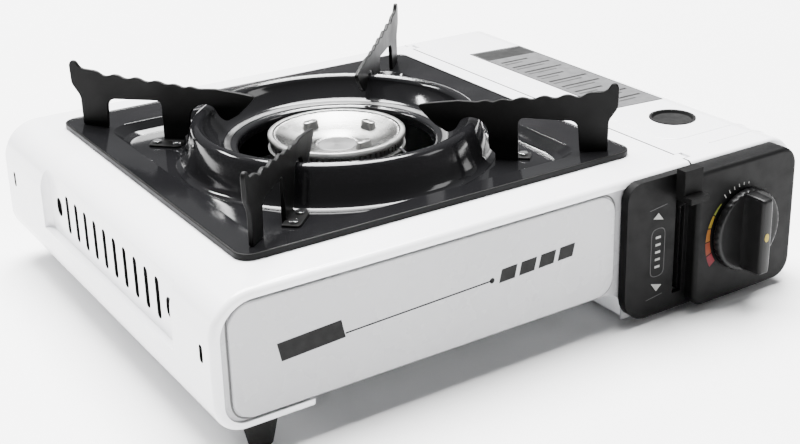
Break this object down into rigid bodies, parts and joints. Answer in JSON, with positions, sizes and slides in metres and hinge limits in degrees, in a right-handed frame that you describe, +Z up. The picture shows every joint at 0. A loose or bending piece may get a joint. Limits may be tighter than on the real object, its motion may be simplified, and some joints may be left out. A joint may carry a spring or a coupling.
{
  "type": "cassette stove",
  "caption": "Table stove with a burner under stepped pan supports, a lift-off drip pan, a hinged cartridge lid, a turning knob and a lock lever.",
  "frame": {"origin": "on the table, at the middle of the bounding box's length and depth", "axes": "+X right, +Y back, +Z up, seen from the side with the knob"},
  "size_m": [0.34, 0.297, 0.1168],
  "materials": {
    "white_enamel": "gloss",
    "plated_steel": "satin",
    "bright_steel": "bright",
    "black_plastic": "gloss",
    "black_lever": "satin",
    "black_rubber": "matt",
    "cast_alloy": "cast",
    "burner_metal": "satin",
    "brass": "turned",
    "ceramic": "glazed",
    "pan_enamel": "gloss",
    "support_enamel": "gloss"
  },
  "bodies": {
    "casing": {"body_shell": "white_enamel", "front_plate": "white_enamel", "rear_plate": "white_enamel", "base_plate": "plated_steel", "compartment_trough": "plated_steel", "heat_partition": "plated_steel", "cartridge_cradle": "plated_steel", "control_panel": "black_plastic", "foot_front_left": "black_rubber", "foot_rear_left": "black_rubber", "foot_front_right": "black_rubber", "foot_rear_right": "black_rubber", "foot_screws": "bright_steel", "panel_screws": "bright_steel", "lid_hinge_pins": "bright_steel", "burner_base": "cast_alloy", "burner_ring": "burner_metal", "burner_cap": "burner_metal", "burner_clips": "burner_metal", "burner_bracket": "plated_steel", "mixing_tube": "plated_steel", "air_shutter": "plated_steel", "gas_jet": "brass", "valve_body": "cast_alloy", "diaphragm_cover": "plated_steel", "inlet_seat": "brass", "inlet_seal": "black_rubber", "collar_locator": "plated_steel", "valve_bracket": "plated_steel", "igniter_body": "black_plastic", "electrode_insulator": "ceramic", "igniter_electrode": "bright_steel", "igniter_lead": "black_rubber", "lever_pin": "bright_steel", "lever_bracket": "plated_steel", "lever_spring": "bright_steel", "pusher_guides": "plated_steel"},
    "lid": {"lid": "white_enamel", "finger_cup": "black_plastic"},
    "pan": {"drip_pan": "pan_enamel", "pan_support_rear_right": "support_enamel", "pan_support_rear_left": "support_enamel", "pan_support_front_left": "support_enamel", "pan_support_front_right": "support_enamel", "support_rivets": "bright_steel"},
    "knob": {"knob": "black_plastic", "valve_spindle": "bright_steel", "igniter_cam": "black_plastic"},
    "lever": {"lock_lever": "black_lever"},
    "pusher": {"cartridge_pusher": "plated_steel"}
  },
  "joints": [
    {"name": "lid_hinge", "type": "hinge", "parent": "casing", "child": "lid", "pos_m": [0.0965, 0.0145, 0.0771], "axis": [0, -1, 0], "range_deg": [0, 100]},
    {"name": "knob_turn", "type": "hinge", "parent": "casing", "child": "knob", "pos_m": [0.121, -0.134, 0.0405], "axis": [0, -1, 0], "range_deg": [0, 140]},
    {"name": "lever_swing", "type": "hinge", "parent": "casing", "child": "lever", "pos_m": [0.082, -0.075, 0.041], "axis": [1, 0, 0], "range_deg": [0, 45], "stiffness_Nm_per_rad": 0.5, "springref_deg": -17.19},
    {"name": "pusher_slide", "type": "slide", "parent": "casing", "child": "pusher", "axis": [0, -1, 0], "range_m": [0, 0.006]},
    {"name": "pan_lift", "type": "slide", "parent": "casing", "child": "pan", "axis": [0, 0, 1], "range_m": [0, 0.06]}
  ],
  "couplings": [
    {"joint": "pusher_slide", "follows": "lever_swing", "m_per_rad": 0.0076}
  ]
}
